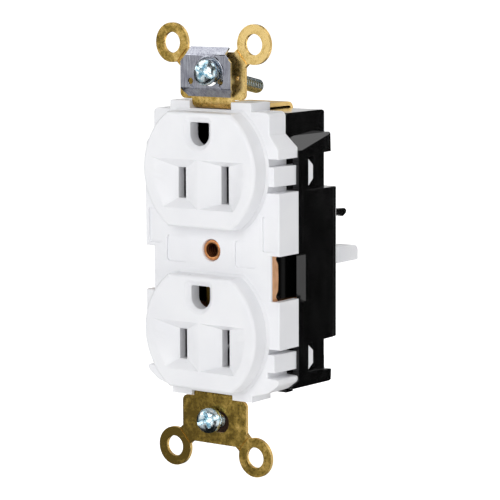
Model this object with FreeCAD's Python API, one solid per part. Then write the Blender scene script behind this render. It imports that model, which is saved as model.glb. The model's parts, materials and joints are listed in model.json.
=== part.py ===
import FreeCAD, Part
import math
import os

# Duplex wall outlet with a plug-on rear connection, in millimetres.
# X runs to the right as seen from the room, Y runs into the wall and Z runs up. The origin is midway between
# the two mounting screws, in the plane of the mounting strap's front face.

V = FreeCAD.Vector

# ---------------------------------------------------------------- driving dimensions
SCREW_SPACING = 83.34      # mounting screw to mounting screw
FACE_SPACING = 38.9        # centre of the upper face to centre of the lower face
STRAP_T = 1.0              # thickness of the brass strap
GAP = 0.05                 # working gap between pieces that fit into each other
SEAT = 0.02                # gap between pieces that are riveted face to face
SIDE = 19.9                # half width of the body
JOINT_Y = 7.15             # back edge of the cover's side walls

SCREW_Z = SCREW_SPACING / 2
FACE_Z = FACE_SPACING / 2

# face cover
FLANGE_Y = -0.8            # front of the flange round the two faces
FACE_Y = -6.0              # front of the two faces
POCKET_Y = -3.6            # depth at which the blade slots start
HOLLOW_Y = -2.0            # back of the face wall, inside each face
COLLAR_Y = -0.6            # back of the collars round the blade slots
WALL_Y = 0.8               # back of the flange wall
FACE_R = 16.55
FACE_FLAT = 13.7           # face centre to its flat top or bottom edge
COVER_TOP = 33.5
COVER_BOTTOM = -34.6
SHOULDER_Z = (25.0, 28.2)  # low and high z of the slope between the full width and the narrow upper end
NARROW_X = 17.15           # half width of the cover's and body's narrow ends
END_JOINT_Y = 5.8          # back edge of the cover at its narrow ends

# openings of one face, measured from the face's centre
SLOT_X = 6.35
SLOT_DROP = 3.33
SLOT_WIDTH = 2.2
HOT_SLOT = 7.36
NEUTRAL_SLOT = 9.0
GROUND_RISE = 8.57
GROUND_R = 2.8
POCKET_R = 13.9
POCKET_TOP = 2.5
POCKET_BOTTOM = -9.2

# mid-height features of both sides
NOTCH = (-10.95, -0.15)    # break-off tab notch, low and high z
NOTCH_X = 17.4
MAIN = (-22.4, 14.65)      # full-width stretch of the cover
UPPER_LEG = (16.2, 20.8)
LOWER_LEG = (-27.87, -23.6)
LEG_X = (16.55, 17.95)
LEG_ROOT_X = 16.4

# rear body
BACK_Y = 21.8              # back of the rear body, where the rear plate sits
PLATE_Y = 23.85            # back of the rear plate
END_BACK_Y = 22.6          # back of the body's narrow ends
BODY_MAIN = (-22.1, 14.5)
BODY_END = 33.0
FLOOR_Y = (14.0, 15.5)     # wall between the contact pockets and the rear cavity
CORE_X = 4.2               # half width of the centre wall between hot and neutral
WINDOW_Y = (11.2, 13.5)    # side windows that the cover's hooks snap into

# brass strap
NECK_X = 6.0
PLATE_X = 9.5
PLATE_TOP = 47.2
PLATE_LOW = 36.0
EAR = (12.08, 49.15)
EAR_R = 4.75
EAR_HOLE_R = 2.5
SCREW_SLOT = (4.4, 2.7)    # half length and half height of the mounting screw opening
RUN_Z = 33.7               # underside of the strap where it crosses the cover's end
BACK_RUN_Z = 33.35         # underside of the strap where it crosses the rear body
STRAP_BACK = PLATE_Y + GAP

# screws and centre rivet
THREAD_R = 1.75
ROOT_R = 1.35
SCREW_LENGTH = 22.2
SCREW_NECK = (8.2, 9.8)    # waisted stretch of the shank that holds the retainer
HEAD_R = 3.1
HEAD_HEIGHT = 2.2
DROOP = 11.5               # degrees that the captive screws hang down in their openings
# x, z of the opening's point on the axis, y of the head's underside, sideways lean and turn of the recess
UPPER_SCREW = (0.8, SCREW_Z, -3.25, 2.0, 24.0)
LOWER_SCREW = (-0.9, -SCREW_Z, -1.45, 19.5, -20.0)
RIVET_R = 2.0
TAPPED_R = 1.4
GROUND_RIVET_R = 1.3
SIDE_RIVET_R = 1.0
SIDE_RIVET = (8.2, 5.2)    # y and z of the rivet that joins a rear blade to its strip

# contacts
CONTACT_T = 0.6
BLADE_HALF = 0.8           # half the gap held open for a plug blade
CONTACT_HALF = 3.5         # half height of a blade contact
SIDE_STRIP = (16.65, 17.35)
ARM_Y = (12.6, 13.3)
GROUND_PIN_R = 2.42
REAR_BLADE_Z = (-4.0, -1.6)
REAR_BLADE_X = 15.2
REAR_FOOT_Z = (1.3, 8.6)
REAR_BLADE_T = 0.7
GROUND_ROOM = (3.5, 6.0, 3.3)    # half width, drop and rise of the way through for a ground contact


# ---------------------------------------------------------------- shape helpers
def place(axis, u, v, w):
    """The point with in-plane coordinates u, v and height w along the named axis."""
    if axis == "x":
        return V(w, u, v)
    if axis == "y":
        return V(u, w, v)
    return V(u, v, w)


def box(x, y, z):
    """A box from its (low, high) pairs."""
    return Part.makeBox(x[1] - x[0], y[1] - y[0], z[1] - z[0], V(x[0], y[0], z[0]))


def rounded_wire(corners):
    """A closed wire through (point, radius) corners, with each corner rounded to its radius."""
    rounds = []
    for i, (corner, radius) in enumerate(corners):
        if not radius:
            rounds.append((corner, None, corner))
            continue
        to_last = (corners[i - 1][0] - corner).normalize()
        to_next = (corners[(i + 1) % len(corners)][0] - corner).normalize()
        half = to_last.getAngle(to_next) / 2
        reach = radius / math.tan(half)
        bisector = (to_last + to_next).normalize()
        middle = corner + bisector * (radius / math.sin(half) - radius)
        rounds.append((corner + to_last * reach, middle, corner + to_next * reach))
    edges = []
    for i, (first, middle, last) in enumerate(rounds):
        if middle is not None:
            edges.append(Part.Arc(first, middle, last).toShape())
        following = rounds[(i + 1) % len(rounds)][0]
        if (following - last).Length > 1e-6:
            edges.append(Part.makeLine(last, following))
    return Part.Wire(edges)


def outline(axis, height, points):
    """A wire across the axis at a height. A third number in a point rounds that corner."""
    corners = [(place(axis, p[0], p[1], height), p[2] if len(p) > 2 else 0) for p in points]
    return rounded_wire(corners)


def prism(axis, low, high, points):
    """A solid with the outline of the points, from low to high along the axis."""
    face = Part.Face(outline(axis, low, points))
    return face.extrude(place(axis, 0, 0, high - low))


def round_bar(centre, radius, low, high):
    """A cylinder along Y at (x, z), from low to high."""
    return Part.makeCylinder(radius, high - low, V(centre[0], low, centre[1]), V(0, 1, 0))


def turned(points):
    """A solid turned about the Y axis from (radius, y) points."""
    face = Part.Face(outline("z", 0, points))
    return face.revolve(V(0, 0, 0), V(0, 1, 0), 360)


def strip(path, thickness, bend):
    """The outline of a bent metal strip. The path is one face, and the metal lies to the path's left."""
    near = []
    far = []
    for i, (u, v) in enumerate(path):
        ahead = path[min(i + 1, len(path) - 1)]
        behind = path[max(i - 1, 0)]
        a = V(u - behind[0], v - behind[1], 0) if i else V(ahead[0] - u, ahead[1] - v, 0)
        b = V(ahead[0] - u, ahead[1] - v, 0) if i < len(path) - 1 else V(a)
        a.normalize()
        b.normalize()
        left_a = V(-a.y, a.x, 0)
        mitre = (left_a + V(-b.y, b.x, 0)).normalize()
        reach = thickness / mitre.dot(left_a)
        turn = a.cross(b).z
        inner_r = bend if abs(turn) > 1e-6 else 0
        outer_r = bend + thickness if abs(turn) > 1e-6 else 0
        near_r, far_r = (outer_r, inner_r) if turn > 0 else (inner_r, outer_r)
        near.append((u, v, near_r))
        far.append((u + mitre.x * reach, v + mitre.y * reach, far_r))
    return near + far[::-1]


def mirrored(shape):
    return shape.mirror(V(0, 0, 0), V(1, 0, 0))


def both_sides(shape):
    return [shape, mirrored(shape)]


def fuse(shapes):
    return shapes[0].multiFuse(shapes[1:]).removeSplitter()


def edges_at(shape, axis, value):
    """The edges that lie wholly in the plane across the axis at the value."""
    low, high = axis.upper() + "Min", axis.upper() + "Max"
    near = 1e-4
    return [
        e
        for e in shape.Edges
        if abs(getattr(e.BoundBox, low) - value) < near and abs(getattr(e.BoundBox, high) - value) < near
    ]


def mirror_points(right_half):
    """A closed outline from its right half, listed from the top down."""
    left_half = [(-p[0],) + tuple(p[1:]) for p in reversed(right_half)]
    return right_half + left_half


# ---------------------------------------------------------------- face cover
def cover_outline():
    """The flange's front outline, right half, from the top down."""
    shoulder = 19.6
    return [
        (NARROW_X, COVER_TOP, 1.3),
        (NARROW_X, SHOULDER_Z[1]),
        (shoulder, SHOULDER_Z[0]),
        (shoulder, 22.6),
        (LEG_ROOT_X, 22.6),
        (LEG_ROOT_X, MAIN[1]),
        (SIDE, MAIN[1]),
        (SIDE, NOTCH[1]),
        (NOTCH_X, NOTCH[1]),
        (NOTCH_X, NOTCH[0]),
        (SIDE, NOTCH[0]),
        (SIDE, MAIN[0]),
        (LEG_ROOT_X, MAIN[0]),
        (LEG_ROOT_X, -29.35),
        (shoulder, -29.5, 0.5),
        (shoulder, -30.7, 1.2),
        (16.6, -33.0, 4.0),
        (10.8, COVER_BOTTOM, 3.0),
    ]


def snap_leg(z, hook_root, hook_tip):
    """A leg with a wide front that runs back under the body's bar and ends in a hook, on the +X side."""
    hook_y = (11.3, 13.4)
    hook_x = 19.7
    root = box((LEG_ROOT_X - 0.5, LEG_X[0] + 0.5), (FLANGE_Y, WALL_Y), z)
    bar = box(LEG_X, (FLANGE_Y, hook_y[1]), z)
    front = prism("z", *z, [(LEG_X[0], FLANGE_Y), (18.5, FLANGE_Y), (19.2, JOINT_Y), (LEG_X[0], JOINT_Y)])
    hook = prism(
        "x",
        LEG_X[0],
        hook_x,
        [
            (hook_y[0], hook_root[0]),
            (hook_y[0], hook_root[1]),
            (hook_y[1], hook_tip[1]),
            (hook_y[1], hook_tip[0]),
        ],
    )
    return fuse([root, bar, front, hook])


def face_boss(z):
    """One raised face: a disc with flat top and bottom and a rounded front edge."""
    edge_r = 0.9
    foot = 0.6
    reach = FLANGE_Y + 0.1
    disc = round_bar((0, z), FACE_R, FACE_Y, reach)
    disc = disc.common(box((-FACE_R, FACE_R), (FACE_Y, reach), (z - FACE_FLAT, z + FACE_FLAT)))
    disc = disc.makeFillet(edge_r, edges_at(disc, "y", FACE_Y))
    base = round_bar((0, z), FACE_R + foot, FLANGE_Y - foot, reach)
    flat = FACE_FLAT + foot
    base = base.common(box((-2 * SIDE, 2 * SIDE), (FLANGE_Y - foot, reach), (z - flat, z + flat)))
    base = base.makeChamfer(foot - 0.01, edges_at(base, "y", FLANGE_Y - foot))
    return disc.fuse(base)


def blade_funnel(z, side, slot_height):
    """The four-sided funnel that leads a blade into its slot, with the slot itself behind it."""
    ridge = 0.12
    slot_z = z - SLOT_DROP
    half_w = SLOT_WIDTH / 2
    half_h = slot_height / 2
    top_angle = math.asin(POCKET_TOP / POCKET_R)
    low_angle = math.asin(POCKET_BOTTOM / POCKET_R)
    mid_angle = (top_angle + low_angle) / 2

    def on_arc(angle):
        return V(side * POCKET_R * math.cos(angle), FACE_Y, z + POCKET_R * math.sin(angle))

    top_in = V(side * ridge, FACE_Y, z + POCKET_TOP)
    low_in = V(side * ridge, FACE_Y, z + POCKET_BOTTOM)
    mouth = Part.Wire(
        [
            Part.makeLine(top_in, on_arc(top_angle)),
            Part.Arc(on_arc(top_angle), on_arc(mid_angle), on_arc(low_angle)).toShape(),
            Part.makeLine(on_arc(low_angle), low_in),
            Part.makeLine(low_in, top_in),
        ]
    )
    inner_x = side * (SLOT_X - half_w)
    outer_x = side * (SLOT_X + half_w)
    throat_points = [
        (inner_x, slot_z + half_h),
        (outer_x, slot_z + half_h),
        (outer_x, slot_z - half_h),
        (inner_x, slot_z - half_h),
    ]
    throat = outline("y", POCKET_Y, throat_points)
    funnel = Part.makeLoft([mouth, throat], True, True)
    slot = prism("y", POCKET_Y - GAP, COLLAR_Y + 1, throat_points)
    return funnel.fuse(slot)


def slot_collar(z, side, slot_height):
    """The wall that carries a blade slot back to its contact."""
    wall = 0.85
    x = (SLOT_X - SLOT_WIDTH / 2 - wall, SLOT_X + SLOT_WIDTH / 2 + wall)
    half_h = slot_height / 2 + wall
    collar = box(x, (HOLLOW_Y - 0.1, COLLAR_Y), (z - SLOT_DROP - half_h, z - SLOT_DROP + half_h))
    return collar if side > 0 else mirrored(collar)


def ground_opening(z):
    """The D-shaped ground hole with its chamfered mouth."""
    chamfer = (1.2, 1.0)
    centre = z + GROUND_RISE

    def d_points(r):
        return [
            (-r, centre + r, 0.5),
            (r, centre + r, 0.5),
            (r, centre - r, r - 0.01),
            (-r, centre - r, r - 0.01),
        ]

    depth = FACE_Y + chamfer[1]
    mouth = outline("y", FACE_Y - 0.01, d_points(GROUND_R + chamfer[0]))
    throat = outline("y", depth, d_points(GROUND_R))
    hole = prism("y", depth - GAP, HOLLOW_Y + 1, d_points(GROUND_R))
    return Part.makeLoft([mouth, throat], True, True).fuse(hole)


def cover_recesses():
    """The shallow square pads and blank label panels moulded into the flange, on the +X side."""
    depth = 0.45
    low, high = FLANGE_Y - 1, FLANGE_Y + depth
    pad = [(7.0, 2.87, 0.8), (13.35, 2.87, 0.8), (13.35, -3.5, 0.8), (7.0, -3.5, 0.8)]
    label = [(15.1, 9.1, 0.4), (18.8, 9.1, 0.4), (18.8, 0.7, 0.4), (15.1, 0.7, 0.4)]
    return [prism("y", low, high, pad), prism("y", low, high, label)]


def cover_hollows():
    """Everything taken out of the cover from behind."""
    deep = JOINT_Y + 1
    hollow_r = 14.6
    hollow_flat = 11.9
    side_wall = 1.6
    flex_x = (LEG_ROOT_X - 1.0, LEG_X[0])
    shapes = [
        box((-SIDE + side_wall, SIDE - side_wall), (WALL_Y, deep), (MAIN[0] + 1.5, MAIN[1] - 1.5)),
        box((-14.8, 14.8), (WALL_Y, deep), (-31.4, 31.2)),
    ]
    for z in (FACE_Z, -FACE_Z):
        bore = round_bar((0, z), hollow_r, HOLLOW_Y, deep)
        keep = box((-hollow_r, hollow_r), (HOLLOW_Y, deep), (z - hollow_flat, z + hollow_flat))
        shapes.append(bore.common(keep))
    for leg_z in (UPPER_LEG, LOWER_LEG):
        shapes += both_sides(box(flex_x, (WALL_Y, deep), leg_z))
    tab_recess = box((16.3, SIDE - side_wall), (-GAP, deep), (MAIN[0] + 1.5, MAIN[1] - 1.5))
    return shapes + both_sides(tab_recess)


def strap_channels():
    """Room for the strap where it turns back over both ends of the cover."""
    half = NECK_X + 0.08
    step_y = 5.3
    top = box((-half, half), (-GAP, JOINT_Y + 1), (RUN_Z - 0.1, COVER_TOP + 3))
    low = box((-half, half), (-GAP, JOINT_Y + 1), (COVER_BOTTOM - 3, -RUN_Z + 0.1))
    low_step = box((-half, half), (step_y, JOINT_Y + 1), (COVER_BOTTOM - 3, -BACK_RUN_Z + GAP))
    return [top, low, low_step]


def face_cover():
    blank = prism("y", FLANGE_Y, JOINT_Y, mirror_points(cover_outline()))
    blank = blank.makeFillet(0.35, edges_at(blank, "y", FLANGE_Y))
    above_joint = [
        (END_JOINT_Y, COVER_TOP + 1),
        (END_JOINT_Y, SHOULDER_Z[1]),
        (JOINT_Y, SHOULDER_Z[0]),
        (JOINT_Y + 1, SHOULDER_Z[0]),
        (JOINT_Y + 1, COVER_TOP + 1),
    ]
    blank = blank.cut(prism("x", -SIDE - 1, SIDE + 1, above_joint))
    blank = blank.cut(box((-SIDE - 1, SIDE + 1), (END_JOINT_Y, JOINT_Y + 1), (COVER_BOTTOM - 1, -33.2)))
    lug_y = (FLANGE_Y, 6.7)
    lugs = []
    for z, depth_y in (((33.2, 35.5), lug_y), ((-35.7, -34.0), lug_y)):
        lugs += both_sides(box((NECK_X + 0.1, 12.0), depth_y, z))
    legs = both_sides(snap_leg(UPPER_LEG, (15.4, 22.1), (17.1, 20.4)))
    legs += both_sides(snap_leg(LOWER_LEG, (-28.7, -22.6), (-27.3, -24.2)))
    bosses = [face_boss(FACE_Z), face_boss(-FACE_Z)]
    rivet_boss = round_bar((0, 0), 4.2, 0, 6.9)
    cover = fuse([blank] + lugs + bosses)
    for shape in cover_hollows():
        cover = cover.cut(shape)
    collars = []
    for z in (FACE_Z, -FACE_Z):
        collars += [slot_collar(z, -1, HOT_SLOT), slot_collar(z, 1, NEUTRAL_SLOT)]
    cover = fuse([cover] + legs + [rivet_boss] + collars)
    cuts = strap_channels()
    for z in (FACE_Z, -FACE_Z):
        cuts += [blade_funnel(z, -1, HOT_SLOT), blade_funnel(z, 1, NEUTRAL_SLOT), ground_opening(z)]
    for shape in cover_recesses():
        cuts += both_sides(shape)
    sunk_y = 0.45
    sunk = [(0, FLANGE_Y - 1), (3.1, FLANGE_Y - 1), (2.6, FLANGE_Y + 0.5), (2.6, sunk_y), (0, sunk_y)]
    countersink = turned(sunk)
    cuts += [countersink, round_bar((0, 0), RIVET_R + GAP, 0, JOINT_Y + 1)]
    for shape in cuts:
        cover = cover.cut(shape)
    return cover.removeSplitter()


# ---------------------------------------------------------------- rear body
def lug(outline_points, facet):
    """A wedge lug on the +X side, whose outer corner is cut back along the plane of three points."""
    wedge = prism("x", NARROW_X - 1, SIDE, outline_points)
    a, b, c = facet
    normal = (b - a).cross(c - a).normalize()
    if normal.z * a.z < 0:
        normal = normal * -1
    size = 60
    cutter = Part.makeBox(size, size, size, V(-size / 2, -size / 2, 0))
    cutter.Placement = FreeCAD.Placement(a, FreeCAD.Rotation(V(0, 0, 1), normal)).multiply(cutter.Placement)
    return wedge.cut(cutter)


def upper_lug():
    points = [(6.3, 27.4), (20.5, 27.8), (20.7, 23.1), (7.2, 22.9), (JOINT_Y + 0.1, SHOULDER_Z[0] + 0.1)]
    return lug(points, (V(NARROW_X, 8.0, 27.2), V(SIDE, 11.2, 24.9), V(SIDE, 20.45, 27.4)))


def lower_lug():
    points = [(7.2, -33.4), (20.7, -32.8), (20.9, -29.8), (14.6, -29.2), (7.2, -29.2)]
    return lug(points, (V(NARROW_X, 8.0, -33.2), V(SIDE, 10.6, -31.2), V(SIDE, 20.7, -32.4)))


def rear_corner(low, high):
    """What rounds off the rear corner of a narrow end, on the +X side."""
    radius = 0.9
    x, y = NARROW_X - radius, END_BACK_Y - radius
    corner = box((x, NARROW_X + 1), (y, END_BACK_Y + 1), (low, high))
    return corner.cut(Part.makeCylinder(radius, high - low, V(x, y, low)))


def rear_body_blank():
    front = JOINT_Y + GAP
    core_profile = [
        (END_JOINT_Y + 0.1, BODY_END, 1.2),
        (END_BACK_Y, BODY_END, 2.0),
        (END_BACK_Y, 27.0),
        (BACK_Y, 27.0),
        (BACK_Y, -27.0),
        (END_BACK_Y, -27.0),
        (END_BACK_Y, -BODY_END, 2.0),
        (8.6, -BODY_END),
        (8.6, -BODY_END - 0.7),
        (END_JOINT_Y + 0.1, -BODY_END - 0.7),
        (END_JOINT_Y + 0.1, -33.25),
        (front, -33.25),
        (front, SHOULDER_Z[0] + GAP),
        (END_JOINT_Y + 0.1, SHOULDER_Z[1] + GAP),
    ]
    core = prism("x", -NARROW_X, NARROW_X, core_profile)
    for low, high in ((27.0, BODY_END + 1), (-BODY_END - 1, -27.0)):
        for shape in both_sides(rear_corner(low, high)):
            core = core.cut(shape)
    pieces = [core]
    main = box((-SIDE, SIDE), (front, BACK_Y), BODY_MAIN)
    pieces.append(main)
    inset = 0.3
    for bar_z in ((BODY_MAIN[1] - 1, 24.2), (-30.4, BODY_MAIN[0] + 1)):
        pieces += both_sides(box((NARROW_X - 1, SIDE), (front, WINDOW_Y[0]), bar_z))
        pieces += both_sides(box((NARROW_X - 1, SIDE - inset), (WINDOW_Y[0], 18.2), bar_z))
    pieces += both_sides(upper_lug())
    pieces += both_sides(lower_lug())
    rib_x = (-NECK_X - 1, NECK_X + 1)
    pieces.append(box(rib_x, (BACK_Y - 1, PLATE_Y), (BODY_MAIN[1] + GAP, 30.6)))
    pieces.append(box(rib_x, (BACK_Y - 1, PLATE_Y), (-30.6, BODY_MAIN[0] - GAP)))
    return fuse(pieces)


def leg_slots():
    """Slots that the cover's legs enter, and the side windows that their hooks snap into."""
    shapes = []
    for low, high in ((15.1, 22.4), (-28.95, -22.35)):
        slot = box((16.2, 18.25), (0, WINDOW_Y[1]), (low, high))
        window = box((16.2, SIDE + 1), WINDOW_Y, (low, high))
        shapes += both_sides(slot.fuse(window))
    return shapes


def body_pockets():
    """Pockets for the live contacts, the rear cavity behind them and the way through for the rear blades."""
    shapes = []
    contact = box((CORE_X, 15.2), (0, FLOOR_Y[0]), (-27.6, 21.0))
    strip_room = box((15.0, SIDE - 1.9), (0, FLOOR_Y[0]), (-21.4, 13.4))
    rear_cavity = box((CORE_X, SIDE - 2.0), (FLOOR_Y[1], BACK_Y + 1), (-20.0, 12.6))
    way_z = (REAR_BLADE_Z[0] - 0.4, REAR_FOOT_Z[1] + 0.4)
    blade_way = box((14.4, 17.2), (FLOOR_Y[0] - 1, FLOOR_Y[1] + 1), way_z)
    inner_x = NOTCH_X - 0.3
    back_y = (8.5, 10.1)
    slant = [(inner_x, 0), (inner_x, back_y[0]), (SIDE, back_y[1]), (SIDE + 1, back_y[1]), (SIDE + 1, 0)]
    notch = prism("z", -11.9, -0.7, slant)
    for shape in (contact, strip_room, rear_cavity, blade_way, notch):
        shapes += both_sides(shape)
    return shapes


def ground_ways():
    """Room for the two ground contacts, the centre rivet and the strap."""
    half, drop, rise = GROUND_ROOM
    shapes = []
    for z in (FACE_Z, -FACE_Z):
        centre = z + GROUND_RISE
        shapes.append(box((-half, half), (0, PLATE_Y + 1), (centre - drop, centre + rise)))
    shapes.append(round_bar((0, 0), RIVET_R + GAP, 0, PLATE_Y + 1))
    channel = NECK_X + 0.1
    room = 3.0
    path_top = box((-channel, channel), (0, PLATE_Y + 2), (BACK_RUN_Z - 0.05, BACK_RUN_Z + room))
    path_low = box((-channel, channel), (0, PLATE_Y + 2), (-BACK_RUN_Z - room, -BACK_RUN_Z + 0.05))
    return shapes + [path_top, path_low]


def notch_wall():
    """The insulating wall behind the break-off tab, which closes the notch from the inside."""
    return box((15.4, 16.3), (2.7, FLOOR_Y[0] + GAP), (-11.9, 0.9))


def rear_body():
    body = rear_body_blank()
    for shape in leg_slots() + body_pockets():
        body = body.cut(shape)
    body = fuse([body] + both_sides(notch_wall()))
    for shape in ground_ways():
        body = body.cut(shape)
    return body.removeSplitter()


def rear_plate():
    """The plate that closes the body's back, with the hook that latches the plug-on connector."""
    plate = box((-SIDE, SIDE), (BACK_Y + GAP, PLATE_Y), BODY_MAIN)
    plate = plate.makeFillet(1.2, edges_at(plate, "y", PLATE_Y))
    hook_profile = [
        (PLATE_Y - 0.5, 8.75),
        (29.6, 8.45, 0.8),
        (30.4, 7.5, 0.7),
        (28.6, 6.45, 0.8),
        (27.4, 6.9),
        (PLATE_Y - 0.5, 6.9),
    ]
    plate = plate.fuse(prism("x", 16.6, 18.2, hook_profile))
    sleeve_room = 0.05
    for side in (1, -1):
        x, z = sleeve_section()
        hole = box(
            (x[0] - sleeve_room, x[1] + sleeve_room),
            (BACK_Y - 1, PLATE_Y + 1),
            (z[0] - sleeve_room, z[1] + sleeve_room),
        )
        plate = plate.cut(hole if side > 0 else mirrored(hole))
    centre = -FACE_Z + GROUND_RISE
    half, drop, rise = GROUND_ROOM
    plate = plate.cut(box((-half, half), (BACK_Y - 1, PLATE_Y + 1), (centre - drop, centre + rise)))
    return plate.cut(round_bar((0, 0), RIVET_R + GAP, BACK_Y - 1, PLATE_Y + 1))


def sleeve_section():
    """The (low, high) x and z of a blade sleeve's outside, on the +X side."""
    return (12.9, 17.5), (-4.95, -0.45)


def blade_sleeve():
    """The shroud round a rear blade, tapered on top and held by its flange, on the +X side."""
    x, z = sleeve_section()
    wall = 0.75
    tip_y = 36.1
    taper = 0.9
    profile = [
        (BACK_Y - 0.9, z[0]),
        (BACK_Y - 0.9, z[1]),
        (PLATE_Y + 0.5, z[1]),
        (tip_y, z[1] - taper, 1.6),
        (tip_y, z[0], 0.4),
    ]
    body = prism("x", x[0], x[1], profile)
    flange = box((x[0] - 0.7, x[1] + 0.3), (BACK_Y - 0.9, BACK_Y - GAP), (z[0] - 0.6, z[1] + 0.6))
    bore = box((x[0] + wall, x[1] - wall), (BACK_Y - 2, tip_y + 1), (z[0] + wall, z[1] - taper - 0.1))
    return body.fuse(flange).cut(bore)


# ---------------------------------------------------------------- strap and ground path
def ear(side):
    """One upper plaster ear and the short neck that joins it to the strap's end plate."""
    ear_x, ear_z = EAR
    neck = prism("y", 0, STRAP_T, [(6.4, PLATE_TOP), (9.5, 43.6), (13.2, 47.2), (10.0, 50.4)])
    disc = round_bar((ear_x, ear_z), EAR_R, 0, STRAP_T)
    score = prism("y", -1, 0.3, [(7.3, 47.55), (10.05, 44.4), (10.45, 44.75), (7.7, 47.9)])
    shape = neck.fuse(disc).cut(score).cut(round_bar((ear_x, ear_z), EAR_HOLE_R, -1, STRAP_T + 1))
    return shape if side > 0 else mirrored(shape)


def end_plate():
    """The strap's upper end plate with its ears and the opening for the mounting screw."""
    half_length, half_height = SCREW_SLOT
    plate = prism(
        "y",
        0,
        STRAP_T,
        mirror_points([(7.2, PLATE_TOP), (PLATE_X, 44.3), (PLATE_X, PLATE_LOW, 1.4), (NECK_X, PLATE_LOW)]),
    )
    shape = fuse([plate, ear(1), ear(-1)])
    corners = [(-half_length, -half_height), (half_length, -half_height)]
    corners += [(half_length, half_height), (-half_length, half_height)]
    opening = prism("y", -1, STRAP_T + 1, [(x, z + SCREW_Z, half_height - 0.01) for x, z in corners])
    return shape.cut(opening)


def mounting_strap():
    """The brass strap: two end plates joined by a band that wraps round the back of the body."""
    bend = 1.0
    path = [
        (0, PLATE_LOW + 1),
        (0, RUN_Z),
        (8.0, RUN_Z),
        (10.0, BACK_RUN_Z),
        (STRAP_BACK, BACK_RUN_Z),
        (STRAP_BACK, 0),
    ]
    top_band = prism("x", -NECK_X, NECK_X, strip(path, STRAP_T, bend))
    upper = end_plate().fuse(top_band)
    lower = upper.mirror(V(0, 0, 0), V(0, 0, 1))
    strap = upper.fuse(lower).removeSplitter()
    hole_depth = (STRAP_BACK - 1, STRAP_BACK + STRAP_T + 1)
    strap = strap.cut(round_bar((0, 0), RIVET_R + GAP, *hole_depth))
    for z in (FACE_Z, -FACE_Z):
        strap = strap.cut(round_bar((0, z + GROUND_RISE), GROUND_RIVET_R + GAP, *hole_depth))
    locating_hole_r = 0.5
    for x in (7.63, -7.63):
        strap = strap.cut(round_bar((x, 41.16), locating_hole_r, -1, STRAP_T + 1))
    return strap


def ground_contact(z):
    """A U-shaped spring contact that grips the ground pin, with its base against the strap."""
    base_y = STRAP_BACK - GAP - CONTACT_T
    half_height = 3.0
    right = [(3.5, 2.2), (GROUND_PIN_R, 4.6), (GROUND_PIN_R, 9.0), (2.75, 12.0), (2.75, base_y)]
    path = right + [(-x, y) for x, y in reversed(right)]
    path.reverse()
    contact = prism("z", z - half_height, z + half_height, strip(path, CONTACT_T, 0.3))
    return contact.cut(round_bar((0, z), GROUND_RIVET_R + GAP, base_y - 1, base_y + 2))


def rivet(centre, radius, front, back):
    """A solid rivet along Y, with a domed head at the front and a formed head at the back."""
    head = 0.6
    head_r = radius + 0.75
    shank = round_bar(centre, radius, front - head, back + head)
    heads = [round_bar(centre, head_r, front - head, front), round_bar(centre, head_r, back, back + head)]
    heads[0] = heads[0].makeFillet(0.3, edges_at(heads[0], "y", front - head))
    heads[1] = heads[1].makeFillet(0.3, edges_at(heads[1], "y", back + head))
    return fuse([shank] + heads)


def ground_contact_rivets():
    front = STRAP_BACK - GAP - CONTACT_T - SEAT
    back = STRAP_BACK + STRAP_T + SEAT
    upper = rivet((0, FACE_Z + GROUND_RISE), GROUND_RIVET_R, front, back)
    lower = rivet((0, -FACE_Z + GROUND_RISE), GROUND_RIVET_R, front, back + REAR_BLADE_T + SEAT)
    return Part.makeCompound([upper, lower])


def ground_rear_blade():
    """The ground blade: a foot riveted to the back of the strap, bent to point backwards."""
    centre = -FACE_Z + GROUND_RISE
    foot_y = STRAP_BACK + STRAP_T + SEAT
    path = [(foot_y, centre + 3.4), (foot_y, centre - 4.4), (34.8, centre - 4.4)]
    blade = prism("x", -2.4, 2.4, strip(path, REAR_BLADE_T, 0.3))
    return blade.cut(round_bar((0, centre), GROUND_RIVET_R + GAP, foot_y - 1, foot_y + 2))


def centre_rivet():
    """The tubular rivet that holds the stack together, tapped for the plate screw."""
    front = -0.45
    lip = 0.85
    lip_r = 2.45
    back = STRAP_BACK + STRAP_T + SEAT
    tail = 0.6
    tail_r = 3.0
    return turned(
        [
            (TAPPED_R, front),
            (lip_r, front, 0.3),
            (lip_r, front + lip),
            (RIVET_R, front + lip),
            (RIVET_R, back),
            (tail_r, back),
            (tail_r, back + tail, 0.25),
            (TAPPED_R, back + tail),
        ]
    )


# ---------------------------------------------------------------- live contacts
def blade_contact(z):
    """The two sprung leaves that grip one plug blade, on the +X side."""
    right = [(1.95, -0.3), (BLADE_HALF, 1.4), (BLADE_HALF, 4.0), (1.3, 7.0), (1.3, ARM_Y[0])]
    path = [(SLOT_X - d, y) for d, y in right] + [(SLOT_X + d, y) for d, y in reversed(right)]
    return prism("z", z - CONTACT_HALF, z + CONTACT_HALF, strip(path, CONTACT_T, 0.25))


def break_off_tab():
    """The thin link between the two halves of a strip, waisted so that it can be snapped out."""
    x_low, x_high = SIDE_STRIP
    low, high = NOTCH[0] - 0.4, NOTCH[1] + 0.4
    profile = [
        (0, low),
        (0, high),
        (2.5, high),
        (1.4, high - 1.3, 0.4),
        (2.3, high - 2.6, 0.8),
        (2.5, (low + high) / 2, 3.0),
        (2.3, low + 2.6, 0.8),
        (1.4, low + 1.3, 0.4),
        (2.5, low),
    ]
    return prism("x", x_low, x_high, profile)


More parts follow.
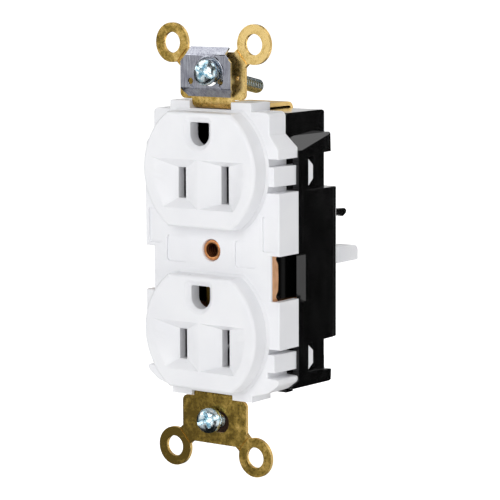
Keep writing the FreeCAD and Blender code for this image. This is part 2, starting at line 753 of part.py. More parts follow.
def contact_strip():
    """One pole's strip on the +X side: both blade contacts, their arms, the side plates and the tab."""
    inner_x = SLOT_X - 1.3 - CONTACT_T
    step_x = 13.6
    pieces = [break_off_tab()]
    halves = (
        (FACE_Z - SLOT_DROP, (NOTCH[1] + 0.3, 13.0), (9.0, 13.0)),
        (-FACE_Z - SLOT_DROP, (-20.8, NOTCH[0] - 0.3), (-20.8, -15.0)),
    )
    for slot_z, plate_z, arm_z in halves:
        pieces.append(blade_contact(slot_z))
        pieces.append(box(SIDE_STRIP, (0, ARM_Y[1]), plate_z))
        pieces.append(box((step_x, SIDE_STRIP[1]), ARM_Y, arm_z))
        reach = (min(arm_z[0], slot_z - CONTACT_HALF), max(arm_z[1], slot_z + CONTACT_HALF))
        pieces.append(box((inner_x, step_x + 0.2), ARM_Y, reach))
    shape = fuse(pieces)
    return shape.cut(side_rivet_hole())


def side_rivet_hole():
    y, z = SIDE_RIVET
    return Part.makeCylinder(SIDE_RIVET_R + GAP, 4, V(15, y, z), V(1, 0, 0))


def rear_blade():
    """The blade that carries one pole back to the plug-on connector, on the +X side."""
    foot_x = SIDE_STRIP[0] - SEAT
    blade_x = REAR_BLADE_X + REAR_BLADE_T / 2
    path = [(foot_x, 5.2), (foot_x, 16.2), (blade_x, 18.4), (blade_x, 35.0)]
    blade = prism("z", REAR_BLADE_Z[0], REAR_FOOT_Z[1], strip(path, REAR_BLADE_T, 0.3))
    below_foot = box((10, 20), (0, 14.3), (REAR_BLADE_Z[0] - 1, REAR_FOOT_Z[0]))
    above_blade = box((10, 20), (19.0, 40), (REAR_BLADE_Z[1], REAR_FOOT_Z[1] + 1))
    return blade.cut(below_foot).cut(above_blade).cut(side_rivet_hole())


def blade_rivets():
    y, z = SIDE_RIVET
    inner = SIDE_STRIP[0] - SEAT - REAR_BLADE_T - SEAT
    outer = SIDE_STRIP[1] + SEAT
    head = 0.3
    head_r = 1.7
    shank = Part.makeCylinder(SIDE_RIVET_R, outer - inner + 2 * head, V(inner - head, y, z), V(1, 0, 0))
    inside = Part.makeCylinder(head_r, head, V(inner - head, y, z), V(1, 0, 0))
    outside = Part.makeCylinder(head_r, head, V(outer, y, z), V(1, 0, 0))
    return Part.makeCompound(both_sides(fuse([shank, inside, outside])))


# ---------------------------------------------------------------- mounting screws and clip
def mounting_screw():
    """A screw along +Y, with the underside of its head at the origin and its shank at the thread's size."""
    round_y = 1.2
    tip = 0.5
    neck_low, neck_high = SCREW_NECK
    screw = turned(
        [
            (0, -HEAD_HEIGHT),
            (HEAD_R - 0.9, -HEAD_HEIGHT, round_y),
            (HEAD_R, -HEAD_HEIGHT + round_y, 0.8),
            (HEAD_R, 0),
            (THREAD_R, 0),
            (THREAD_R, neck_low),
            (ROOT_R, neck_low),
            (ROOT_R, neck_high),
            (THREAD_R, neck_high),
            (THREAD_R, SCREW_LENGTH - tip),
            (THREAD_R - tip, SCREW_LENGTH),
            (0, SCREW_LENGTH),
        ]
    )
    return screw.cut(screw_recess())


def screw_recess():
    """The combination recess: a straight slot across the head and a tapered cross."""
    slot_half = 0.5
    slot_depth = 0.9
    front = -HEAD_HEIGHT - 1
    slot = box((-HEAD_R - 1, HEAD_R + 1), (front, -HEAD_HEIGHT + slot_depth), (-slot_half, slot_half))
    shapes = [slot]
    wide = outline("y", -HEAD_HEIGHT - 0.01, [(-2.0, -0.45), (2.0, -0.45), (2.0, 0.45), (-2.0, 0.45)])
    deep = outline("y", -HEAD_HEIGHT + 1.7, [(-0.6, -0.3), (0.6, -0.3), (0.6, 0.3), (-0.6, 0.3)])
    wing = Part.makeLoft([wide, deep], True, True)
    for turn in (0, 90):
        turned_wing = wing.copy()
        turned_wing.rotate(V(0, 0, 0), V(0, 1, 0), turn)
        shapes.append(turned_wing)
    return fuse(shapes)


def screw_retainer():
    """The fibre washer in the screw's neck that keeps it in the strap, in the screw's own frame."""
    end_play = 0.3
    outer_r = 3.2
    low, high = SCREW_NECK[0] + end_play, SCREW_NECK[1] - end_play
    return round_bar((0, 0), outer_r, low, high).cut(round_bar((0, 0), ROOT_R + GAP, low - 1, high + 1))


def hang(shape, x, z, head_y, yaw, turn):
    """Puts a piece from the screw's own frame in place, leaning in the strap's opening at (x, z)."""
    shape = shape.copy()
    shape.rotate(V(0, 0, 0), V(0, 1, 0), turn)
    shape.rotate(V(0, 0, 0), V(1, 0, 0), -DROOP)
    shape.rotate(V(0, 0, 0), V(0, 0, 1), yaw)
    lean = FreeCAD.Rotation(V(0, 0, 1), yaw).multiply(FreeCAD.Rotation(V(1, 0, 0), -DROOP))
    axis = lean.multVec(V(0, 1, 0))
    pivot = V(x, STRAP_T / 2, z)
    shape.translate(pivot - axis * ((pivot.y - head_y) / axis.y))
    return shape


def grounding_clip():
    """The spring-steel clip that bonds the upper screw to the strap."""
    half = 7.4
    offset = -0.2
    thickness = 0.45
    front = -2.4
    fold_z = (38.6, 46.7)
    path = [(-0.55, 48.4), (front, fold_z[1]), (front, fold_z[0]), (-0.86, 36.6)]
    clip = prism("x", -half, half, strip(path, thickness, 0.35))
    hole = (0.9 - offset, SCREW_Z + 0.45)
    hole_r = 2.9
    ring_r = 4.1
    bead = 0.4
    relief = (4.4, 40.3)
    relief_r = 0.75
    deep = (-4, 2)
    ring = Part.makeTorus(ring_r, bead, V(hole[0], front + 0.1, hole[1]), V(0, 1, 0))
    ring = ring.common(box((-half, half), deep, (relief[1], fold_z[1])))
    gusset = prism("y", front - 0.25, front + 0.1, [(4.2, 39.6), (2.7, 37.95), (5.3, 37.95)])
    gusset = gusset.common(box((-half, half), deep, (fold_z[0], relief[1])))
    clip = fuse([clip, ring] + both_sides(gusset))
    slit = prism("y", *deep, [(4.3, 40.3), (4.55, 40.3), (4.3, 39.1), (4.1, 39.1)])
    out = half + 1
    top_corner = prism("y", *deep, [(out, 44.9), (half, 44.9), (5.7, 46.7), (5.6, 49.5), (out, 49.5)])
    low_corner = prism("y", *deep, [(half, 38.2), (out, 38.2), (out, 36.0), (6.3, 36.0), (6.3, 36.9)])
    for shape in (top_corner, low_corner, slit, round_bar(relief, relief_r, *deep)):
        for piece in both_sides(shape):
            clip = clip.cut(piece)
    clip = clip.cut(round_bar(hole, hole_r, *deep))
    clip.translate(V(offset, 0, 0))
    return clip


# ---------------------------------------------------------------- all pieces
def all_pieces():
    screw = mounting_screw()
    retainer = screw_retainer()
    strip_right = contact_strip()
    blade_right = rear_blade()
    sleeve_right = blade_sleeve()
    return {
        "face_cover": face_cover(),
        "rear_body": rear_body(),
        "rear_plate": rear_plate(),
        "mounting_strap": mounting_strap(),
        "grounding_clip": grounding_clip(),
        "upper_mounting_screw": hang(screw, *UPPER_SCREW),
        "lower_mounting_screw": hang(screw, *LOWER_SCREW),
        "upper_screw_retainer": hang(retainer, *UPPER_SCREW),
        "lower_screw_retainer": hang(retainer, *LOWER_SCREW),
        "centre_rivet": centre_rivet(),
        "neutral_contact_strip": strip_right,
        "hot_contact_strip": mirrored(strip_right),
        "upper_ground_contact": ground_contact(FACE_Z + GROUND_RISE),
        "lower_ground_contact": ground_contact(-FACE_Z + GROUND_RISE),
        "ground_contact_rivets": ground_contact_rivets(),
        "ground_rear_blade": ground_rear_blade(),
        "neutral_rear_blade": blade_right,
        "hot_rear_blade": mirrored(blade_right),
        "blade_rivets": blade_rivets(),
        "neutral_blade_sleeve": sleeve_right,
        "hot_blade_sleeve": mirrored(sleeve_right),
    }


os.makedirs("parts", exist_ok=True)
for name, shape in all_pieces().items():
    shape.exportStep(os.path.join("parts", name + ".step"))
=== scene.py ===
import json
import math

import bmesh
import bpy
from mathutils import Matrix, Vector

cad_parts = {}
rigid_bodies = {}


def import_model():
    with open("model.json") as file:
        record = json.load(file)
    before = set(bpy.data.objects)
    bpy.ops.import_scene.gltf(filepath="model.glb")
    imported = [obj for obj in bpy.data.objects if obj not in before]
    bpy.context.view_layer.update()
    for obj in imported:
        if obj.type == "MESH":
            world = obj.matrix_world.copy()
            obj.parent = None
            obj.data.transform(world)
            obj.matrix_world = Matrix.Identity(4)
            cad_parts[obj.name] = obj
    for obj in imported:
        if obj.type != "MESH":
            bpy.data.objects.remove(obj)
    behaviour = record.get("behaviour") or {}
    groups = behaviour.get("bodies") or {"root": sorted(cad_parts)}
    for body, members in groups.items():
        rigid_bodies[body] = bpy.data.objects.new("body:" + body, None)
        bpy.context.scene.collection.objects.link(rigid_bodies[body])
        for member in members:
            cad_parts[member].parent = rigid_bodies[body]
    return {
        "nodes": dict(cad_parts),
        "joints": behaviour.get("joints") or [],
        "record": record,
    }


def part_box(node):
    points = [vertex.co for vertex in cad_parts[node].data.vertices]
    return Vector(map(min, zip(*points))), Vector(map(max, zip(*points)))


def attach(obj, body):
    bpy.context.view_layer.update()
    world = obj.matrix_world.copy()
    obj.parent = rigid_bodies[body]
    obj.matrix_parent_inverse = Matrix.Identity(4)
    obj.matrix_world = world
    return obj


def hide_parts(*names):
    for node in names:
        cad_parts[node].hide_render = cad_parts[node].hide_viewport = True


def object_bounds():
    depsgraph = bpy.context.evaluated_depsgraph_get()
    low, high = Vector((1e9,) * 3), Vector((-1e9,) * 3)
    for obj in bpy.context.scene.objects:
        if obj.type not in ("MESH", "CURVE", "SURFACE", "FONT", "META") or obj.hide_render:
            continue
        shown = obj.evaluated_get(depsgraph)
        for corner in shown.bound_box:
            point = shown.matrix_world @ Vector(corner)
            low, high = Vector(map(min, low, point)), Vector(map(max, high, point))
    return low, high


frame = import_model()
cad_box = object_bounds()
nodes = frame["nodes"]
slots = {part["node"]: part["material_slot"] for part in frame["record"]["subparts"]}
mounts = {mount["name"]: mount for mount in frame["record"]["mounts"]}
joints = {joint["name"]: joint for joint in frame["joints"]}
MM = 0.001


# ---------------------------------------------------------------- material graphs
class Graph:
    """A material and its node tree, with one call per node."""

    def __init__(self, name):
        self.material = bpy.data.materials.new(name)
        self.material.use_nodes = True
        self.tree = self.material.node_tree
        self.shader = self.tree.nodes["Principled BSDF"]
        self.place = self.node("ShaderNodeTexCoord").outputs["Object"]

    def node(self, kind, inputs=None, **settings):
        made = self.tree.nodes.new(kind)
        for key, value in settings.items():
            setattr(made, key, value)
        for key, value in (inputs or {}).items():
            self.feed(made.inputs[key], value)
        return made

    def feed(self, socket, value):
        """Sets a socket to a number or colour, or links it to an output."""
        if isinstance(value, bpy.types.NodeSocket):
            self.tree.links.new(value, socket)
        elif isinstance(value, tuple) and len(value) == 3 and socket.type == "RGBA":
            socket.default_value = (*value, 1)
        else:
            socket.default_value = value

    def set(self, **inputs):
        """Feeds the shader's sockets. An underscore in a key stands for a space."""
        for key, value in inputs.items():
            self.feed(self.shader.inputs[key.replace("_", " ")], value)

    def parts(self, vector):
        """The X, Y and Z outputs of a vector."""
        return self.node("ShaderNodeSeparateXYZ", {"Vector": vector}).outputs

    def stretched(self, scale):
        """The object's coordinates, scaled by three numbers."""
        return self.node("ShaderNodeMapping", {"Vector": self.place, "Scale": scale}).outputs["Vector"]

    def noise(self, size_mm, detail=4.0, rough=0.5, vector=None, distortion=0.0):
        """Noise whose lumps are about size_mm across."""
        inputs = {
            "Vector": vector or self.place,
            "Scale": 1 / (size_mm * MM),
            "Detail": detail,
            "Roughness": rough,
            "Distortion": distortion,
        }
        return self.node("ShaderNodeTexNoise", inputs).outputs["Fac"]

    def ramp(self, factor, *stops):
        """A colour ramp from (position, colour) stops."""
        made = self.node("ShaderNodeValToRGB", {"Fac": factor})
        while len(made.color_ramp.elements) < len(stops):
            made.color_ramp.elements.new(0.5)
        for element, (position, colour) in zip(made.color_ramp.elements, stops):
            element.position = position
            element.color = (*colour, 1)
        return made.outputs["Color"]

    def span(self, factor, low, high, start=0.0, end=1.0):
        """The factor's stretch from start to end, mapped to low..high."""
        inputs = {"Value": factor, "From Min": start, "From Max": end, "To Min": low, "To Max": high}
        return self.node("ShaderNodeMapRange", inputs).outputs["Result"]

    def math(self, operation, a, b=0.0):
        made = self.node("ShaderNodeMath", operation=operation)
        self.feed(made.inputs[0], a)
        self.feed(made.inputs[1], b)
        return made.outputs["Value"]

    def mix(self, factor, a, b):
        made = self.node("ShaderNodeMix", data_type="RGBA")
        self.feed(made.inputs["Factor"], factor)
        self.feed(made.inputs["A"], a)
        self.feed(made.inputs["B"], b)
        return made.outputs["Result"]

    def bump(self, height, depth_mm, normal=None):
        """A bump whose full height is depth_mm."""
        inputs = {"Height": height, "Distance": depth_mm * MM, "Strength": 1.0}
        if normal is not None:
            inputs["Normal"] = normal
        return self.node("ShaderNodeBump", inputs).outputs["Normal"]


def moulded_plastic(name, colour, darker, rough, grain_mm, specular, translucent=0.0):
    """Moulded plastic: slow colour drift, a fine mould grain and a roughness that varies a little."""
    g = Graph(name)
    drift = g.noise(9.0, 3)
    grain = g.noise(grain_mm, 3)
    flow = g.noise(2.5, 2, vector=g.stretched((1, 1, 0.35)))
    uneven = g.math("ADD", g.span(flow, rough - 0.05, rough + 0.05), g.span(grain, -0.02, 0.02))
    g.set(
        Base_Color=g.mix(g.span(drift, 0, 1, 0.35, 0.65), darker, colour),
        Roughness=uneven,
        Normal=g.bump(grain, 0.004),
        Specular_IOR_Level=specular,
    )
    if translucent:
        g.set(Subsurface_Weight=translucent, Subsurface_Radius=(1.0, 1.0, 1.0), Subsurface_Scale=0.6 * MM)
    return g.material


def white_nylon():
    colour, darker = (0.86, 0.865, 0.885), (0.83, 0.835, 0.86)
    return moulded_plastic(
        "white_nylon", colour, darker, rough=0.3, grain_mm=0.16, specular=0.25, translucent=0.15
    )


def black_thermoplastic():
    colour, darker = (0.0016, 0.0016, 0.0018), (0.001, 0.001, 0.001)
    return moulded_plastic("black_thermoplastic", colour, darker, rough=0.13, grain_mm=0.2, specular=0.5)


def brass_strap():
    """Plated brass strip: clouded olive and gold patches with rolled streaks.

    It is painted brighter towards the upper right, as painted light. The cut edges, which face neither the
    front nor the back, are rougher, and their brighter, even gold is a painted highlight.
    """
    g = Graph("brass_strap")
    low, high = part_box("mounting_strap")
    place = g.parts(g.place)
    # Painted light: the colour is lifted towards the right and the top, and lowered towards the left and the
    # bottom.
    painted_light_rightward = g.span(place["X"], -0.12, 0.1, low.x, high.x)
    upward = g.span(place["Z"], -0.11, 0.12, low.z, high.z)
    cloud = g.noise(3.2, 5, 0.62, distortion=0.5)
    spots = g.noise(0.7, 4, 0.6)
    streak = g.noise(0.5, 3, vector=g.stretched((1, 1, 0.12)))
    mottle = g.math("ADD", g.math("MULTIPLY", cloud, 0.65), g.math("MULTIPLY", spots, 0.35))
    mottle_and_painted_light = g.math("ADD", mottle, g.math("ADD", painted_light_rightward, upward))
    colour = g.ramp(
        mottle_and_painted_light,
        (0.36, (0.16, 0.105, 0.022)),
        (0.46, (0.34, 0.23, 0.05)),
        (0.56, (0.64, 0.43, 0.12)),
        (0.68, (0.96, 0.7, 0.28)),
    )
    rough = g.math("ADD", g.span(spots, 0.2, 0.38, 0.3, 0.7), g.span(streak, -0.04, 0.06))
    facing = g.parts(g.node("ShaderNodeNewGeometry").outputs["True Normal"])
    # The side-facing cut edges are rougher, and their even bright gold is a painted highlight.
    cut_edge_highlight = g.span(g.math("ABSOLUTE", facing["Y"]), 1, 0, 0.15, 0.5)
    colour = g.mix(cut_edge_highlight, colour, (0.8, 0.56, 0.2))
    rough = g.math("ADD", rough, g.math("MULTIPLY", cut_edge_highlight, 0.2))
    g.set(Base_Color=colour, Metallic=1.0, Roughness=rough)
    wave = g.bump(cloud, 0.03)
    g.set(Normal=g.bump(streak, 0.004, wave))
    return g.material


def rolled_metal(name, dull, bright, rough, spread, stretch, metallic=1.0):
    """Bright sheet metal with fine rolling lines along the height, stretched by the given ratio."""
    g = Graph(name)
    lines = g.noise(0.35, 4, 0.6, vector=g.stretched((1, 1, stretch)))
    blotch = g.noise(2.2, 4, 0.55)
    pattern = g.math("ADD", lines, g.math("MULTIPLY", blotch, 0.6))
    uneven = g.span(lines, rough - spread, rough + spread, 0.3, 0.7)
    g.set(
        Base_Color=g.mix(g.span(pattern, 0, 1, 0.55, 1.05), dull, bright),
        Metallic=metallic,
        Roughness=g.math("ADD", uneven, g.span(blotch, -0.03, 0.05)),
        Normal=g.bump(lines, 0.005),
    )
    return g.material


def spring_steel():
    dull, bright = (0.2, 0.2, 0.25), (0.5, 0.52, 0.57)
    return rolled_metal("spring_steel", dull, bright, rough=0.17, spread=0.05, stretch=0.08)


def zinc_screw():
    """Clear zinc plating: cool grey-blue with small bright and dull patches; the thread is darkened with
    painted shade.
    """
    g = Graph("zinc_screw")
    patch = g.noise(0.9, 4, 0.6)
    fine = g.noise(0.18, 3)
    colour = g.ramp(patch, (0.36, (0.3, 0.5, 0.6)), (0.5, (0.62, 0.76, 0.82)), (0.62, (0.9, 0.95, 0.96)))
    # Painted shade: below the head the colour is mixed towards dark grey along the shank.
    depth = g.parts(g.place)["Y"]
    g.set(
        Base_Color=g.mix(g.span(depth, 0, 0.7, -0.2 * MM, 0.3 * MM), colour, (0.12, 0.12, 0.1)),
        Metallic=1.0,
        Roughness=g.span(patch, 0.16, 0.34, 0.3, 0.7),
        Normal=g.bump(fine, 0.006, g.bump(patch, 0.02)),
    )
    return g.material


def copper_rivet():
    """Bright turned copper lips round a bore that is painted near-black as painted shade."""
    g = Graph("copper_rivet")
    place = g.parts(g.place)
    flat = g.node("ShaderNodeCombineXYZ", {"X": place["X"], "Y": 0.0, "Z": place["Z"]})
    radius = g.node("ShaderNodeVectorMath", {0: flat.outputs["Vector"]}, operation="LENGTH").outputs["Value"]
    # Painted shade: inside the lip radius the colour turns near-black.
    lip = g.span(radius, 0, 1, 1.6 * MM, 1.9 * MM)
    lines = g.noise(0.3, 4, 0.6)
    bright = g.mix(lines, (0.5, 0.17, 0.05), (1.0, 0.5, 0.22))
    g.set(
        Base_Color=g.mix(lip, (0.1, 0.03, 0.012), bright),
        Metallic=1.0,
        Roughness=g.span(lip, 0.5, 0.27),
        Normal=g.bump(lines, 0.01),
    )
    return g.material


def contact_copper():
    dull, bright = (0.62, 0.3, 0.13), (0.9, 0.52, 0.28)
    return rolled_metal(
        "contact_copper", dull, bright, rough=0.42, spread=0.08, stretch=0.1, metallic=0.55
    )


def contact_brass():
    dull, bright = (0.45, 0.3, 0.08), (0.75, 0.56, 0.22)
    return rolled_metal("contact_brass", dull, bright, rough=0.3, spread=0.07, stretch=0.1)


def fibre_washer():
    """Pressed fibre: dull dark brown with short paler threads."""
    g = Graph("fibre_washer")
    threads = g.noise(0.4, 5, 0.7, vector=g.stretched((1, 4, 0.6)))
    lump = g.noise(1.2, 3)
    colour = g.ramp(
        threads,
        (0.35, (0.02, 0.008, 0.005)),
        (0.55, (0.05, 0.02, 0.013)),
        (0.7, (0.1, 0.05, 0.035)),
    )
    g.set(Base_Color=colour, Roughness=g.span(lump, 0.6, 0.85), Normal=g.bump(threads, 0.03))
    return g.material


MATERIALS = {
    make.__name__: make()
    for make in (
        white_nylon,
        black_thermoplastic,
        brass_strap,
        spring_steel,
        zinc_screw,
        copper_rivet,
        contact_copper,
        contact_brass,
        fibre_washer,
    )
}


# ---------------------------------------------------------------- edge rounding of the CAD pieces
def round_edges(piece, width_mm):
    """Joins the faces' shared corners, clears the flat faces' inner edges and rounds the sharp edges."""
    same_corner_mm, flat_angle, sharp_angle = 0.002, 0.4, 35
    weld = piece.modifiers.new("weld", "WELD")
    weld.merge_threshold = same_corner_mm * MM
    flat = piece.modifiers.new("flat", "DECIMATE")
    flat.decimate_type = "DISSOLVE"
    flat.angle_limit = math.radians(flat_angle)
    bevel = piece.modifiers.new("edges", "BEVEL")
    bevel.width = width_mm * MM
    bevel.segments = 2
    bevel.limit_method = "ANGLE"
    bevel.angle_limit = math.radians(sharp_angle)
    bevel.use_clamp_overlap = True
    bevel.miter_outer = "MITER_ARC"
    normals = piece.modifiers.new("normals", "WEIGHTED_NORMAL")
    normals.weight = 100
    normals.keep_sharp = False


# How far each moulded or stamped piece's sharp edges are rounded, in millimetres.
EDGE_ROUNDS = {
    "face_cover": 0.25,
    "rear_body": 0.2,
    "rear_plate": 0.2,
    "mounting_strap": 0.35,
    "grounding_clip": 0.14,
}

for name, piece in nodes.items():
    piece.data.materials.clear()
    piece.data.materials.append(MATERIALS[slots[name]])
    if name in EDGE_ROUNDS:
        round_edges(piece, EDGE_ROUNDS[name])


# ---------------------------------------------------------------- screws and centre rivet with real threads
# Sizes are in millimetres. A screw's y runs down its axis from the underside of its head, and SCREW_TURNS is
# how many degrees each head is turned about that axis.
PITCH = 0.794
THREAD_R = mounts["upper_box_screw"]["dims"]["r_mm"]
THREAD_DEPTH = 0.4
ROOT_R = THREAD_R - THREAD_DEPTH
THREAD_RUNOUT = 0.8
SCREW_LENGTH = 22.2
SCREW_NECK = (8.2, 9.8)
SHANK_SEGMENTS = 48
ROWS_PER_PITCH = 10
HEAD_R = 3.1
HEAD_HEIGHT = 2.2
HEAD_RIM = 0.7
HEAD_CHAMFER = 0.15
HEAD_SEGMENTS = 4 * SHANK_SEGMENTS
HEAD_RINGS = 60
SCREW_TURNS = {"upper": 24.0, "lower": -20.0}


def clamp(value):
    """The value, held between 0 and 1."""
    return max(0.0, min(1.0, value))


def eased(value):
    """A smooth step from 0 to 1."""
    inside = clamp(value)
    return inside * inside * (3 - 2 * inside)


def ring(mesh, y, radius, segments):
    """A ring of vertices round the Y axis.

    The radius is a number or a function of the turn from 0 to 1, and y a number or a function of x and z.
    """
    made = []
    for i in range(segments):
        turn = i / segments
        r = radius(turn) if callable(radius) else radius
        x = r * math.sin(math.tau * turn)
        z = r * math.cos(math.tau * turn)
        depth = y(x, z) if callable(y) else y
        made.append(mesh.verts.new(Vector((x, depth, z)) * MM))
    return made


def stitch(mesh, near, far):
    """Faces between two rings. The near one has a whole number of points for each far one."""
    ratio = len(near) // len(far)
    for i in range(len(far)):
        outer = [near[(i * ratio + k) % len(near)] for k in range(ratio + 1)]
        mesh.faces.new(outer + [far[(i + 1) % len(far)], far[i]])


def skin(mesh, rings):
    """Faces along a row of rings."""
    for near, far in zip(rings, rings[1:]):
        stitch(mesh, near, far)


def finished(mesh, name, node, matrix):
    """Turns a bmesh into a piece that stands for a CAD node and moves with its body."""
    bmesh.ops.recalc_face_normals(mesh, faces=mesh.faces)
    data = bpy.data.meshes.new(name)
    mesh.to_mesh(data)
    mesh.free()
    for face in data.polygons:
        face.use_smooth = True
    piece = bpy.data.objects.new(name, data)
    bpy.context.scene.collection.objects.link(piece)
    piece.matrix_world = matrix
    data.materials.append(MATERIALS[slots[node]])
    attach(piece, nodes[node].parent.name.removeprefix("body:"))
    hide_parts(node)
    return piece


def thread_height(y, turn):
    """0 in the root and 1 on the crest of a right-hand thread."""
    root_flat, flank = 0.15, 0.6
    phase = (y / PITCH - turn) % 1.0
    ridge = 1 - abs(2 * phase - 1)
    return clamp((ridge - root_flat) / flank)


def shank_radius(y):
    """The screw's radius at depth y, as a function of the turn."""
    thread_start = 0.3
    neck_low, neck_high = SCREW_NECK
    inside = y - neck_high if y >= neck_high else min(y - thread_start, neck_low - y)
    depth = THREAD_DEPTH * clamp(inside / THREAD_RUNOUT)
    chamfer = ROOT_R + SCREW_LENGTH - y
    return lambda turn: min(ROOT_R + depth * thread_height(y, turn), chamfer)


def head_surface(x, z):
    """The y of the head's top at (x, z): a dome with a slot across it and a tapered cross."""
    slot_half, slot_depth = 0.48, 0.95
    wing_reach, wing_ramp, wing_half, wing_tip, cross_depth = 2.1, 1.3, 0.42, 0.7, 1.7
    edge = 0.1
    r = min(1.0, math.hypot(x, z) / HEAD_R)
    y = -HEAD_RIM - (HEAD_HEIGHT - HEAD_RIM) * (1 - r**2.6) ** 0.6

    def cut(depth, half_width, across):
        """How far a groove of this depth and half width lowers the head here."""
        return max(0.0, depth - HEAD_HEIGHT - y) * eased((half_width + edge - across) / (2 * edge))

    y += cut(slot_depth, slot_half, abs(z))
    for along, across in ((abs(x), abs(z)), (abs(z), abs(x))):
        taper = clamp((wing_reach - along) / wing_ramp)
        y += cut(cross_depth * taper, wing_half * (wing_tip + (1 - wing_tip) * taper), across)
    return y


def mounting_screw(which):
    """A captive mounting screw: domed combination head, neck and helical thread."""
    mesh = bmesh.new()
    centre = mesh.verts.new(Vector((0, head_surface(0, 0), 0)) * MM)
    rings = []
    for i in range(1, HEAD_RINGS + 1):
        r = HEAD_R * math.sin(math.pi / 2 * i / HEAD_RINGS)
        rings.append(ring(mesh, head_surface, r, HEAD_SEGMENTS))
    for i in range(HEAD_SEGMENTS):
        mesh.faces.new((centre, rings[0][i], rings[0][(i + 1) % HEAD_SEGMENTS]))
    rings.append(ring(mesh, -HEAD_CHAMFER, HEAD_R, HEAD_SEGMENTS))
    rings.append(ring(mesh, 0.0, HEAD_R - HEAD_CHAMFER, HEAD_SEGMENTS))
    rows = round(SCREW_LENGTH / PITCH * ROWS_PER_PITCH)
    for i in range(rows + 1):
        y = SCREW_LENGTH * i / rows
        rings.append(ring(mesh, y, shank_radius(y), SHANK_SEGMENTS))
    skin(mesh, rings)
    mesh.faces.new(rings[-1])
    joint = joints[which + "_screw_spin"]
    axis = Vector(joint["axis"])
    yaw = Matrix.Rotation(math.atan2(-axis.x, axis.y), 4, "Z")
    droop = Matrix.Rotation(math.asin(axis.z), 4, "X")
    turn = Matrix.Rotation(math.radians(SCREW_TURNS[which]), 4, "Y")
    matrix = Matrix.Translation(Vector(joint["pos_m"])) @ yaw @ droop @ turn
    return finished(mesh, which + "_screw_threaded", which + "_mounting_screw", matrix)


def centre_rivet():
    """The tubular rivet with its rolled lips and its tapped bore."""
    low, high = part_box("centre_rivet")
    front, back = low.y / MM, high.y / MM
    outer_r = high.x / MM
    bore_r = mounts["plate_screw_hole"]["dims"]["r_mm"]
    lip_r, tube_r, tap = 2.45, 2.0, 0.32
    lip, tail, curl, curl_corner = 0.85, 0.6, 0.25, 0.07
    tapped = 9.0
    mesh = bmesh.new()
    outside = [
        (bore_r + curl, front),
        (lip_r - curl, front),
        (lip_r - curl_corner, front + curl_corner),
        (lip_r, front + curl),
        (lip_r, front + lip),
        (tube_r, front + lip),
        (tube_r, back - tail),
        (outer_r, back - tail),
        (outer_r, back - curl),
        (outer_r - curl, back),
        (bore_r + curl, back),
    ]
    rings = [ring(mesh, y, r, SHANK_SEGMENTS) for r, y in outside]
    below_thread = 0.1
    bore = [back - curl, front + tapped + below_thread]
    rows = round(tapped / PITCH * ROWS_PER_PITCH)
    bore += [front + curl + (tapped - curl) * i / rows for i in range(rows, -1, -1)]
    for y in bore:
        cut = tap * clamp((front + tapped - y) / THREAD_RUNOUT)
        rings.append(ring(mesh, y, lambda turn: bore_r + cut * thread_height(y, turn), SHANK_SEGMENTS))
    skin(mesh, rings + [rings[0]])
    return finished(mesh, "centre_rivet_tapped", "centre_rivet", Matrix.Identity(4))


mounting_screw("upper")
mounting_screw("lower")
centre_rivet()


# ---------------------------------------------------------------- floor, light and camera
def direction(azimuth, elevation):
    """The unit vector towards a direction in degrees. Azimuth 0 is the front, 90 the right."""
    a, e = math.radians(azimuth), math.radians(elevation)
    return Vector((math.sin(a) * math.cos(e), -math.cos(a) * math.cos(e), math.sin(e)))


def sheet(name, width, height):
    """A flat rectangle in its own XY plane, with UVs from 0 to 1."""
    mesh = bpy.data.meshes.new(name)
    w, h = width / 2, height / 2
    mesh.from_pydata([(-w, -h, 0), (w, -h, 0), (w, h, 0), (-w, h, 0)], [], [(0, 1, 2, 3)])
    layer = mesh.uv_layers.new(name="card")
    for loop, corner in zip(layer.data, ((0, 0), (1, 0), (1, 1), (0, 1))):
        loop.uv = corner
    made = bpy.data.objects.new(name, mesh)
    bpy.context.scene.collection.objects.link(made)
    return made


def floor():
    """A wide pale floor at the object's lowest point. It glows more strongly to the camera than it shines."""
    made = sheet("floor", 24, 24)
    made.location.z = cad_box[0].z
    g = Graph("floor_paint")
    glow = g.span(g.node("ShaderNodeLightPath").outputs["Is Camera Ray"], 0.3, 0.9)
    g.set(Base_Color=(0.8, 0.8, 0.8), Roughness=0.9, Emission_Color=(1, 1, 1), Emission_Strength=glow)
    made.data.materials.append(g.material)
    made.visible_glossy = False


def aim_from(made, azimuth, elevation, distance):
    """Puts an object in a direction from the origin, with its +Z axis pointing away from the origin."""
    away = direction(azimuth, elevation)
    made.location = away * distance
    made.rotation_mode = "QUATERNION"
    made.rotation_quaternion = away.to_track_quat("Z", "Y")


def soft_light(name, azimuth, elevation, distance, size, power):
    """A square area light aimed at the object."""
    data = bpy.data.lights.new(name, "AREA")
    data.shape = "SQUARE"
    data.size = size
    data.energy = power
    lamp = bpy.data.objects.new(name, data)
    bpy.context.scene.collection.objects.link(lamp)
    aim_from(lamp, azimuth, elevation, distance)


def reflector(name, azimuth, elevation, distance, width, height, across, upward=(1.0, 1.0)):
    """A card seen only in reflections.

    Its brightness is the product of two ramps, each from a first to a second value: across and upward.
    """
    card = sheet(name, width, height)
    aim_from(card, azimuth, elevation, distance)
    for ray in ("camera", "diffuse", "shadow", "transmission", "volume_scatter"):
        setattr(card, "visible_" + ray, False)
    g = Graph(name)
    uv = g.node("ShaderNodeTexCoord").outputs["UV"]
    sideways = g.span(g.parts(uv)["X"], *across)
    rising = g.span(g.parts(uv)["Y"], *upward)
    glow = g.node("ShaderNodeEmission", {"Strength": g.math("MULTIPLY", sideways, rising)})
    g.tree.links.new(glow.outputs["Emission"], g.tree.nodes["Material Output"].inputs["Surface"])
    card.data.materials.append(g.material)


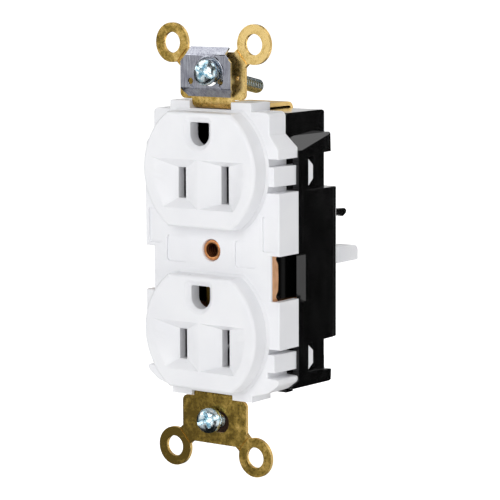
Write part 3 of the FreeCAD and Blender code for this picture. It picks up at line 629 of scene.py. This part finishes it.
def surroundings():
    """A room that is white to the camera and grey to diffuse light.

    A first reflection finds it almost black, and a later one finds it bright.
    """
    diffuse, first_reflection, later_reflection, seen = 0.42, 0.01, 0.9, 1.0
    # The ray depth is 2 where a first reflection reaches the room, and 3 or more for a later one.
    first_reflection_depth = 2.5
    world = bpy.data.worlds.new("studio")
    world.use_nodes = True
    bpy.context.scene.world = world
    tree = world.node_tree
    rays = tree.nodes.new("ShaderNodeLightPath")

    def pick(factor, low, high):
        """Low where the factor is 0 and high where it is 1. Each is a number or an output."""
        made = tree.nodes.new("ShaderNodeMix")
        made.data_type = "FLOAT"
        tree.links.new(factor, made.inputs["Factor"])
        for socket, value in ((made.inputs["A"], low), (made.inputs["B"], high)):
            if isinstance(value, float):
                socket.default_value = value
            else:
                tree.links.new(value, socket)
        return made.outputs["Result"]

    later = tree.nodes.new("ShaderNodeMath")
    later.operation = "GREATER_THAN"
    later.inputs[1].default_value = first_reflection_depth
    tree.links.new(rays.outputs["Ray Depth"], later.inputs[0])
    glossy = pick(later.outputs["Value"], first_reflection, later_reflection)
    strength = pick(rays.outputs["Is Glossy Ray"], diffuse, glossy)
    strength = pick(rays.outputs["Is Camera Ray"], strength, seen)
    tree.links.new(strength, tree.nodes["Background"].inputs["Strength"])
    tree.nodes["Background"].inputs["Color"].default_value = (1, 1, 1, 1)


def camera():
    """A long lens looking slightly down from the right of the front."""
    azimuth, elevation = 37.0, 7.56
    roll = math.radians(-0.224)
    distance = 0.5709
    target = Vector((10.9, 0.0, 0.79)) * MM
    data = bpy.data.cameras.new("camera")
    data.sensor_width = 36.0
    data.lens = 172.15
    made = bpy.data.objects.new("camera", data)
    bpy.context.scene.collection.objects.link(made)
    made.location = direction(azimuth, elevation) * distance
    aim = (made.location - target).to_track_quat("Z", "Y")
    made.rotation_mode = "QUATERNION"
    made.rotation_quaternion = aim @ Matrix.Rotation(roll, 3, "Z").to_quaternion()
    bpy.context.scene.camera = made


floor()
surroundings()
for name, azimuth, elevation, distance, size, power in (
    ("key", 8, 20, 0.9, 0.5, 3.2),
    ("side", 85, 8, 0.9, 0.4, 0.8),
    ("top", 100, 65, 0.9, 0.4, 0.8),
):
    soft_light(name, azimuth, elevation, distance, size, power)
# The front faces mirror the left card to the camera. Each even card serves the surface named beside it.
reflector("left_card", -42, -4, 0.35, 0.34, 0.5, (0.35, 1.1), (0.6, 1.2))
for name, azimuth, elevation, distance, width, height, brightness in (
    ("upper_left_card", -75, 56, 0.5, 0.45, 0.4, 1.7),  # the clip's top flap
    ("front_card", 2, 16, 0.5, 0.2, 0.16, 1.0),  # the lower screw's head
    ("screw_card", -33, 18, 0.45, 0.12, 0.1, 1.2),  # the upper screw's head
    ("fold_card", -50, 27, 0.3, 0.14, 0.08, 3.0),  # the clip's fold
    ("back_card", 217, 14, 0.5, 0.5, 0.3, 0.9),  # faces that look up
    ("notch_card", 23, -8, 0.5, 0.14, 0.14, 1.6),  # the notch's slanted wall
    ("right_card", 85, 0, 0.5, 0.4, 0.5, 1.2),  # rounded right-hand edges
    ("far_card", 164, -4, 0.5, 0.19, 0.4, 4.5),  # the body's rear upright edges
    ("facet_card", 147, 47, 0.5, 0.35, 0.25, 2.0),  # the upper lug's slope
    ("under_card", 147, -48, 0.5, 0.35, 0.25, 1.2),  # slopes that look down
):
    reflector(name, azimuth, elevation, distance, width, height, (brightness, brightness))
camera()
bpy.context.scene.view_settings.view_transform = "Standard"
